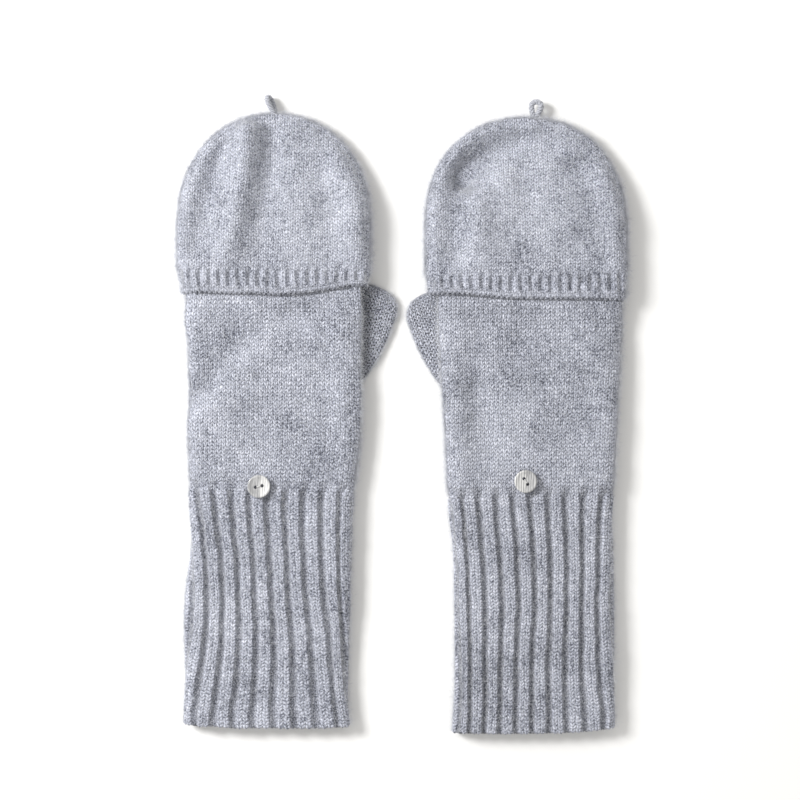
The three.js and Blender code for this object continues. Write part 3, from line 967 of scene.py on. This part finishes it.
def lathe(profile, sides):
    """A closed solid of revolution about +Z from (radius, z) pairs that start and end on the axis."""
    b = bmesh.new()
    rings = []
    for r, z in profile:
        if r < 1e-6:
            rings.append([b.verts.new((0, 0, z))])
        else:
            steps = (2 * math.pi * k / sides for k in range(sides))
            rings.append([b.verts.new((r * math.cos(a), r * math.sin(a), z)) for a in steps])
    for low, high in zip(rings, rings[1:]):
        for k in range(sides):
            k2 = k + 1
            corners = [low[k % len(low)], low[k2 % len(low)], high[k2 % len(high)], high[k % len(high)]]
            b.faces.new(list(dict.fromkeys(corners)))
    bmesh.ops.recalc_face_normals(b, faces=b.faces)
    mesh = bpy.data.meshes.new("turned")
    b.to_mesh(mesh)
    b.free()
    return bpy.data.objects.new("turned", mesh)


def add_button(mitten):
    (x, y), low, high = button_frame(mitten)
    thickness = high - low
    r = BUTTON_RADIUS
    profile = [
        (0, 0),
        (r - 1.3, 0),
        (r - 0.5, 0.18),
        (r - 0.1, 0.55),
        (r, 0.95),
        (r - 0.08, thickness - 0.5),
        (r - 0.3, thickness - 0.14),
        (r - 0.62, thickness),
        (r - 1.0, thickness - 0.05),
        (r - 1.5, thickness - 0.3),
        (r - 2.3, thickness - HOLLOW),
        (0, thickness - HOLLOW),
    ]
    scene = bpy.context.scene.collection.objects
    body = lathe(profile, 96)
    scene.link(body)
    drill = lathe([(0, -2), (HOLE_RADIUS, -2), (HOLE_RADIUS, 4), (0, 4)], 32)
    drills = [drill, drill.copy()]
    for sign, each in zip((-1, 1), drills):
        each.location = (sign * HOLE_REACH, 0, 0)
        scene.link(each)
        cut = body.modifiers.new("hole", "BOOLEAN")
        cut.object = each
        cut.solver = "EXACT"
    bevel = body.modifiers.new("edges", "BEVEL")
    bevel.width = 0.12
    bevel.segments = 3
    bevel.limit_method = "ANGLE"
    bevel.angle_limit = math.radians(50)
    bpy.context.view_layer.update()
    mesh = bpy.data.meshes.new_from_object(body.evaluated_get(bpy.context.evaluated_depsgraph_get()))
    for used in [body, *drills]:
        bpy.data.objects.remove(used)
    points = np.array([v.co for v in mesh.vertices])
    points = turned(points, 0, mitten.side["hole_turn"]) + [x, y, low]
    mesh.vertices.foreach_set("co", mitten.place(points).astype(np.float32).ravel())
    if mitten.mirror:
        mesh.flip_normals()
    mesh.update()
    for polygon in mesh.polygons:
        polygon.use_smooth = True
    mesh.set_sharp_from_angle(angle=math.radians(40))
    mesh.materials.clear()
    mesh.materials.append(mitten.material("shell"))
    made = bpy.data.objects.new(f"{mitten.name}_shell_button", mesh)
    scene.link(made)
    mitten.fit(made, "wrist_button", "shell_button", "button")


def add_button_thread(mitten):
    """The strands over the button's bridge, and the wound stalk and knot below it."""
    (x, y), low, high = button_frame(mitten)
    turn = math.radians(mitten.side["hole_turn"])
    along = np.array([math.cos(turn), math.sin(turn), 0])
    beside = np.array([-math.sin(turn), math.cos(turn), 0])
    t = np.linspace(-1, 1, 31)
    rise = np.clip(1 - np.abs(t) ** 6, 0, 1)
    cords = []
    for offset, lift in ((-0.17, 0), (0.0, 0.1), (0.17, 0)):
        path = [x, y, low] + along * ((HOLE_REACH - 0.5) * np.clip(t * 1.15, -1, 1))[:, None]
        path = path + beside * (offset * (0.6 + 0.4 * (1 - t * t)))[:, None]
        path[:, 2] = low + 0.15 + (high - low - HOLLOW + 0.12 + lift) * rise
        cords.append(sweep(path, 0.12))
    made = add_cords(mitten, "bridge_thread", cords, "thread")
    mitten.fit(made, "wrist_button", "button_thread", "button_thread")

    low, high = mitten.heights("button_shank")
    t = np.linspace(0, 1, 120)
    angle, radius = 2 * math.pi * 4 * t, 0.75 - 0.25 * t
    coil = np.stack([x + radius * np.cos(angle), y + radius * np.sin(angle), low + (high - low) * t], 1)
    core = np.stack([np.full(6, x), np.full(6, y), np.linspace(low - 0.2, high, 6)], 1)
    made = add_cords(mitten, "thread_stalk", [sweep(coil, 0.24), sweep(core, 0.6, 10)], "thread")
    mitten.fit(made, "mitten", "button_thread", "button_shank")

    low, high = mitten.heights("button_knot")
    a = 2 * math.pi * np.linspace(0, 1, 140)
    height = (low + high) / 2 + 0.2 * np.cos(5 * a)
    knot = np.stack([x + 0.85 * np.sin(2 * a), y + 0.85 * np.sin(3 * a), height], 1)
    made = add_cords(mitten, "inside_knot", [sweep(knot, 0.26)], "thread")
    mitten.fit(made, "mitten", "button_thread", "button_knot")


# ---- Fuzz: fine fibres that stand out of the brushed yarn


def add_fuzz(mitten, name, body, grid, count, seed, halo=False):
    """Short curling fibres on a skin's grid, more of them where the cloth turns over at its edges.
    A halo's fibres are finer, stand further off the cloth and grow at its edges only."""
    random = np.random.RandomState(seed)
    n = normals_of(grid)
    step_u = np.linalg.norm(np.roll(grid, -1, 1) - grid, axis=2)
    step_v = np.linalg.norm(np.gradient(grid, axis=0), axis=2)
    if halo:
        weight = step_u * step_v * smooth((0.65 - np.abs(n[..., 2])) / 0.4)
    else:
        weight = step_u * step_v * (0.4 + 3.2 * smooth((0.8 - np.abs(n[..., 2])) / 0.6))
    weight[grid[..., 2] < 0.8] *= 0.05
    chosen = random.choice(weight.size, count, p=(weight / weight.sum()).ravel())
    start = grid.reshape(-1, 3)[chosen]
    normal = n.reshape(-1, 3)[chosen]
    loose = random.normal(size=(count, 3))
    tangent = unit(loose - normal * np.sum(loose * normal, 1)[:, None])
    if halo:
        shape, scale, shortest, least, most, lie, thick = 2.2, 0.62, 0.7, 0.5, 1.1, 0.55, (0.024, 0.042)
    else:
        shape, scale, shortest, least, most, lie, thick = 3.0, 0.55, 0.5, 0.2, 1.0, 0.9, (0.03, 0.055)
    length = np.minimum(random.gamma(shape, scale, count) + shortest, FIBRES[name][2])[:, None]
    lift = random.uniform(least, most, count)[:, None]
    curl = np.clip(random.normal(0, 0.5, (count, 3)), -1, 1)
    points = []
    for t in np.linspace(0, 1, 3):
        heading = normal * lift * (1 - 0.35 * t) + tangent * (lie + 0.2 * t) + curl * t * lie
        heading /= np.maximum(1, np.linalg.norm(heading, axis=1, keepdims=True) / 1.4)
        points.append(start + length * t * heading)
    path = np.stack(points, 1)
    path[..., 2] = np.maximum(path[..., 2], 0.1)
    radius = random.uniform(*thick, count)[:, None] * np.array([1, 0.9, 0.5])
    along = unit(np.gradient(path, axis=1))
    side = unit(np.cross(along, [0.31, 0.52, 0.79]))
    other = np.cross(along, side)
    angles = 2 * math.pi * np.arange(3) / 3
    rings = [path + (side * math.cos(a) + other * math.sin(a)) * radius[..., None] for a in angles]
    j, i = np.meshgrid(np.arange(2), np.arange(3), indexing="ij")
    after = (i + 1) % 3
    quad = np.stack([j * 3 + i, j * 3 + after, (j + 1) * 3 + after, (j + 1) * 3 + i], 2).reshape(-1, 4)
    split = np.concatenate([quad[:, [0, 1, 2]], quad[:, [0, 2, 3]], [[0, 2, 1], [6, 7, 8]]])
    faces = (9 * np.arange(count)[:, None, None] + split[None]).reshape(-1, 3)
    kind = "halo" if halo else "fuzz"
    made = add_mesh(mitten, f"{name}_{kind}", np.stack(rings, 2).reshape(-1, 3), faces, None, "fibre")
    mitten.fit(made, body, "plain_knit")


# ---- Materials


class Nodes:
    """Small helpers for building a material's node tree."""

    def __init__(self, name):
        self.material = bpy.data.materials.new(name)
        self.material.use_nodes = True
        self.tree = self.material.node_tree
        self.shader = self.tree.nodes["Principled BSDF"]

    def add(self, kind, **settings):
        node = self.tree.nodes.new(kind)
        for key, value in settings.items():
            setattr(node, key, value)
        return node

    def link(self, source, target):
        self.tree.links.new(source, target)

    def put(self, node, index, value):
        if isinstance(value, bpy.types.NodeSocket):
            self.link(value, node.inputs[index])
        elif value is not None:
            node.inputs[index].default_value = value

    def math(self, operation, a, b=None, c=None):
        node = self.add("ShaderNodeMath", operation=operation)
        for index, value in enumerate((a, b, c)):
            self.put(node, index, value)
        return node.outputs[0]

    def mix(self, factor, a, b, blend="MIX"):
        node = self.add("ShaderNodeMix", data_type="RGBA", blend_type=blend)
        for index, value in ((0, factor), (6, a), (7, b)):
            self.put(node, index, value)
        return node.outputs[2]

    def ramp(self, value, low, high, to_low=0.0, to_high=1.0):
        node = self.add("ShaderNodeMapRange", interpolation_type="SMOOTHSTEP")
        for index, setting in enumerate((value, low, high, to_low, to_high)):
            self.put(node, index, setting)
        return node.outputs[0]

    def noise(self, vector, scale, detail=2.0, roughness=0.5):
        node = self.add("ShaderNodeTexNoise")
        self.link(vector, node.inputs["Vector"])
        for setting, value in (("Scale", scale), ("Detail", detail), ("Roughness", roughness)):
            node.inputs[setting].default_value = value
        return node.outputs["Fac"]

    def place(self):
        return self.add("ShaderNodeTexCoord").outputs["Object"]

    def parts(self, vector):
        node = self.add("ShaderNodeSeparateXYZ")
        self.link(vector, node.inputs[0])
        return node.outputs

    def swing(self, value, width):
        """A value from 0 to 1 spread over that width, round 0."""
        return self.math("MULTIPLY", self.math("SUBTRACT", value, 0.5), width)

    def paint(self, colour):
        self.link(colour, self.shader.inputs["Base Color"])

    def bump(self, height, distance, strength):
        node = self.add("ShaderNodeBump")
        node.inputs["Strength"].default_value = strength
        node.inputs["Distance"].default_value = distance
        self.link(height, node.inputs["Height"])
        self.link(node.outputs[0], self.shader.inputs["Normal"])

    def set(self, **values):
        for key, value in values.items():
            self.shader.inputs[key.replace("_", " ")].default_value = value
        return self.material


YARN = (0.46, 0.48, 0.56, 1)
YARN_DARK = (0.12, 0.13, 0.165, 1)
YARN_LIGHT = (0.76, 0.78, 0.87, 1)
# both fibre colours are paler than the yarn: painted light through the thin hairs
FIBRE_DULL = (0.58, 0.595, 0.65, 1)
FIBRE_PALE = (0.82, 0.835, 0.885, 1)
SHELL_DARK = (0.36, 0.362, 0.37, 1)
SHELL_GREY = (0.52, 0.522, 0.53, 1)
SHELL_CREAM = (0.70, 0.70, 0.695, 1)
SHELL_PAINTED_GLINT = (0.84, 0.84, 0.835, 1)
SHELL_LINE = (0.2, 0.202, 0.215, 1)


def stitch_height(n, u, v):
    """The relief of stockinette, as the mesh has it: two slanted legs to every stitch."""
    centred = n.math("SUBTRACT", n.math("FRACT", u), 0.5)
    beside = n.math("ABSOLUTE", centred)
    phase = n.math("SUBTRACT", v, n.math("MULTIPLY", n.math("SUBTRACT", beside, 0.25), 2 * SLANT))
    row = n.math("ABSOLUTE", n.math("SINE", n.math("MULTIPLY", phase, math.pi)))
    legs = n.math("POWER", n.math("ABSOLUTE", n.math("SINE", n.math("MULTIPLY", beside, 2 * math.pi))), 0.6)
    legs = n.math("MAXIMUM", legs, n.math("MULTIPLY_ADD", beside, -1.8, 0.45))
    height = n.math("MULTIPLY", legs, n.math("MULTIPLY_ADD", row, 0.85, 0.15))
    return height, phase


def knit_material(name, lightness, gap, furrow_shade=None, painted_shadow=None):
    """Brushed, heathered yarn knitted in stockinette, drawn from UVs that count wales and courses.
    gap is how dark the painted shade between the legs is; the rib settings give a rib's repeat, its knitted
    share and how dark the painted shade in each purled furrow is; the last argument gives where along x a
    painted shadow goes from dark to light."""
    n = Nodes(name)
    uv = n.add("ShaderNodeUVMap", uv_map="stitches")
    place = n.place()
    wobble = n.swing(n.noise(place, 380), 0.8)
    counted = n.parts(uv.outputs[0])
    u = n.math("ADD", counted[0], wobble)
    v = n.math("ADD", counted[1], wobble)
    height, phase = stitch_height(n, u, v)

    leg = n.add("ShaderNodeCombineXYZ")
    n.link(n.math("FLOOR", n.math("MULTIPLY", u, 2)), leg.inputs[0])
    n.link(n.math("FLOOR", phase), leg.inputs[1])
    stitch = n.add("ShaderNodeTexWhiteNoise", noise_dimensions="3D")
    n.link(leg.outputs[0], stitch.inputs["Vector"])
    along_yarn = n.add("ShaderNodeMapping")
    along_yarn.inputs["Scale"].default_value = (0.4, 1.1, 1)
    n.link(uv.outputs[0], along_yarn.inputs["Vector"])
    marl = n.math("MULTIPLY_ADD", n.math("SUBTRACT", stitch.outputs["Value"], 0.5), 0.35, 0.5)
    layers = [
        (n.noise(place, 1150, 3.0, 0.65), 2.9),
        (n.noise(place, 2600, 2.0, 0.6), 1.0),
        (n.noise(along_yarn.outputs[0], 1.0, 2.0, 0.6), 0.4),
        (n.noise(place, 320, 2.0, 0.6), 0.25),
        (n.noise(place, 80, 3.0, 0.55), 0.9),
        (n.noise(place, 28, 1.0), 0.7),
    ]
    for layer, weight in layers:
        marl = n.math("ADD", marl, n.swing(layer, weight))
    light = n.mix(n.ramp(marl, 0.5, 1.32), YARN, YARN_LIGHT)
    yarn = n.mix(n.ramp(marl, 0.55, -0.14), light, YARN_DARK)
    # painted shade: the colour darkens between the stitches' legs, by their height, and lightness scales it
    # all
    shade = n.ramp(height, 0.05, 0.7, gap * lightness, 1.08 * lightness)
    # painted shade in each purled furrow of the rib, by wale count
    if furrow_shade:
        repeat, share, dark = furrow_shade
        phase = n.math("FRACT", n.math("DIVIDE", counted[0], repeat))
        away = n.math("ABSOLUTE", n.math("SUBTRACT", phase, 0.5))
        shade = n.math("MULTIPLY", shade, n.ramp(away, share / 2 - 0.08, share / 2 + 0.1, 1.0, dark))
    # painted shadow along x, darkest at the hand's edge, where the thumb goes under the hand
    if painted_shadow:
        shade = n.math("MULTIPLY", shade, n.ramp(n.parts(place)[0], *painted_shadow, 0.4, 1.06))
    tone = n.add("ShaderNodeCombineXYZ")
    for index in range(3):
        n.link(shade, tone.inputs[index])
    n.paint(n.mix(1.0, yarn, tone.outputs[0], "MULTIPLY"))
    n.bump(n.math("ADD", height, n.math("MULTIPLY", layers[0][0], 0.6)), 0.0004, 0.8)
    sheen = {"Sheen_Weight": 0.45, "Sheen_Roughness": 0.4, "Sheen_Tint": (0.93, 0.94, 1, 1)}
    return n.set(Roughness=0.92, Specular_IOR_Level=0.25, **sheen)


def cord_material(name, colour, dark, plies_per_mm):
    """Twisted yarn or thread: fine plies along its length, with painted shade in the grooves between them,
    and a little marl.
    """
    n = Nodes(name)
    uv = n.add("ShaderNodeUVMap", uv_map="stitches")
    place = n.place()
    counted = n.parts(uv.outputs[0])
    lay = n.math("MULTIPLY", counted[0], 2.0)
    lay = n.math("ADD", lay, n.math("MULTIPLY", counted[1], plies_per_mm))
    ply = n.math("ABSOLUTE", n.math("SINE", n.math("MULTIPLY", lay, math.pi)))
    marl = n.noise(place, 1700, 3.0, 0.65)
    mixed = n.math("MULTIPLY", ply, n.math("ADD", marl, 0.5))
    # painted shade: the colour darkens to the dark one in the grooves between the plies
    n.paint(n.mix(n.ramp(mixed, 0.25, 0.85), dark, colour))
    n.bump(mixed, 0.00018, 0.8)
    return n.set(Roughness=0.85, Sheen_Weight=0.3, Sheen_Roughness=0.5, Specular_IOR_Level=0.3)


def fibre_material():
    """Single hairs of the brushed yarn, dull or pale at random; both tones are paler than the yarn as painted
    light through the thin hairs.
    """
    n = Nodes("loose fibres")
    place = n.place()
    marl = n.noise(place, 300)
    n.paint(n.mix(n.ramp(marl, 0.3, 0.7), FIBRE_DULL, FIBRE_PALE))
    return n.set(Roughness=0.7, Sheen_Weight=0.2, Specular_IOR_Level=0.3)


def shell_material(name, lightness, streaks):
    """Mother-of-pearl: wavy growth bands in cream, grey and silver, with painted glints, under a hard polish.
    streaks is how strongly its fine growth lines show."""
    n = Nodes(name)
    place = n.place()
    stretch = n.add("ShaderNodeMapping")
    stretch.inputs["Scale"].default_value = (1.0, 0.22, 1.0)
    stretch.inputs["Rotation"].default_value = (0, 0, math.radians(12))
    n.link(place, stretch.inputs["Vector"])
    bands = n.noise(stretch.outputs[0], 420, 4.0, 0.65)
    fine = n.noise(stretch.outputs[0], 1700, 3.0, 0.6)
    sideways = n.parts(stretch.outputs[0])[0]
    grain = n.math("SINE", n.math("MULTIPLY", sideways, 560))
    grain = n.math("ADD", grain, n.swing(bands, 3.0))
    body = n.mix(n.ramp(bands, 0.4, 0.62), SHELL_DARK, SHELL_GREY)
    colour = n.mix(n.ramp(grain, -0.35, 0.35), body, SHELL_CREAM)
    # painted glints: pale flecks from fine noise stand in for the shell's lustre catching the light
    colour = n.mix(n.math("MULTIPLY", n.ramp(fine, 0.55, 0.75), 0.4), colour, SHELL_PAINTED_GLINT)
    waves = n.swing(bands, 9.0)
    lines = n.math("SINE", n.math("ADD", n.math("MULTIPLY", sideways, 5200), waves))
    colour = n.mix(n.math("MULTIPLY", n.ramp(lines, 0.1, 0.9), streaks), colour, SHELL_LINE)
    n.paint(n.mix(1.0, colour, (lightness, lightness, lightness, 1), "MULTIPLY"))
    n.link(n.ramp(bands, 0.3, 0.7, 0.22, 0.42), n.shader.inputs["Roughness"])
    n.bump(n.math("ADD", bands, n.math("MULTIPLY", fine, 0.3)), 0.00006, 0.6)
    return n.set(Coat_Weight=0.5, Coat_Roughness=0.15, Thin_Film_Thickness=420.0, Thin_Film_IOR=1.5)


def floor_material():
    n = Nodes("white table")
    place = n.place()
    n.paint(n.mix(n.noise(place, 9), (0.86, 0.86, 0.86, 1), (0.88, 0.88, 0.88, 1)))
    return n.set(Roughness=0.95, Specular_IOR_Level=0.1)


# Each knitted cloth's lightness, how dark the painted shade in its gaps is, its ribs with the painted shade
# in each furrow, and its painted shadow. The lightnesses differ between the sides and the pieces as painted
# light and shade;
# the left thumb's is lowest, as painted shade under the hand's edge.
KNITS = {
    "left_plain": (1.0, 0.42),
    "right_plain": (0.96, 0.42),
    "left_cap": (0.985, 0.5),
    "right_cap": (1.0, 0.5),
    "left_thumb": (0.86, 0.04, None, THUMB_PAINTED_SHADOW),
    "right_thumb": (0.97, 0.06),
    "left_rib": (0.99, 0.52, (RIB_REPEAT, 0.52, 0.76)),
    "right_rib": (0.93, 0.5, (RIB_REPEAT, 0.52, 0.68)),
    "left_band": (0.975, 0.62, (BAND_REPEAT, 0.55, 0.85)),
    "right_band": (1.0, 0.64, (BAND_REPEAT, 0.55, 0.87)),
}


def make_materials():
    knits = {key: knit_material(key.replace("_", " ") + " knit", *look) for key, look in KNITS.items()}
    return knits | {
        "cord": cord_material("loop yarn", (0.58, 0.595, 0.655, 1), (0.13, 0.14, 0.17, 1), 1.2),
        # the linking yarn's dark grey is partly its own colour and partly painted shade of the gap under the
        # band's edge
        "seam": cord_material("linking yarn", (0.21, 0.22, 0.26, 1), (0.06, 0.064, 0.08, 1), 1.0),
        "thread": cord_material("button thread", (0.88, 0.88, 0.88, 1), (0.7, 0.7, 0.7, 1), 2.0),
        "left_shell": shell_material("pale shell", 0.98, 0.5),
        "right_shell": shell_material("grey shell", 0.88, 0.8),
        "fibre": fibre_material(),
    }


# ---- Stage


TABLE_SIZE = 6
WORLD_COLOUR = (1, 0.985, 0.952, 1)
WORLD_STRENGTH = 0.7
KEY_PLACE = (-1.05, 0.48, 0.91)
KEY_SIZE = 0.46
KEY_POWER = 24.5
KEY_COLOUR = (1.0, 0.995, 0.985)


def add_stage():
    b = bmesh.new()
    bmesh.ops.create_grid(b, x_segments=2, y_segments=2, size=TABLE_SIZE)
    mesh = bpy.data.meshes.new("table")
    b.to_mesh(mesh)
    b.free()
    mesh.materials.append(floor_material())
    table = bpy.data.objects.new("table", mesh)
    bpy.context.scene.collection.objects.link(table)
    table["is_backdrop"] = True

    world = bpy.data.worlds.new("studio")
    world.use_nodes = True
    background = world.node_tree.nodes["Background"]
    background.inputs[0].default_value = WORLD_COLOUR
    background.inputs[1].default_value = WORLD_STRENGTH
    bpy.context.scene.world = world

    data = bpy.data.lights.new("key", "AREA")
    data.size = KEY_SIZE
    data.energy = KEY_POWER
    data.color = KEY_COLOUR
    light = bpy.data.objects.new("key", data)
    light.location = KEY_PLACE
    light.rotation_euler = (-Vector(KEY_PLACE)).to_track_quat("-Z", "Y").to_euler()
    bpy.context.scene.collection.objects.link(light)
    bpy.context.scene.view_settings.view_transform = "Standard"


# ---- The pair


def add_mitten(name, materials):
    mitten = Mitten(name, materials)
    seed = mitten.side["seed"] * 100
    skins = [
        ("cuff", "mitten", add_cuff(mitten)),
        ("hand", "mitten", add_hand(mitten)),
        ("cap", "flip_cap", add_cap(mitten)),
        ("thumb", "thumb_tube", add_thumb(mitten)),
    ]
    for add in (add_fingers, add_loop, add_seam, add_button, add_button_thread):
        add(mitten)
    for k, (piece, body, skin) in enumerate(skins):
        fuzz, halo, _ = FIBRES[piece]
        add_fuzz(mitten, piece, body, skin, fuzz, seed + k)
        add_fuzz(mitten, piece, body, skin, halo, seed + 50 + k, halo=True)


materials = make_materials()
for side_name in SIDES:
    add_mitten(side_name, materials)
add_stage()

low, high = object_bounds()
{"cad": [list(cad_low), list(cad_high)], "visual": [list(low), list(high)]}
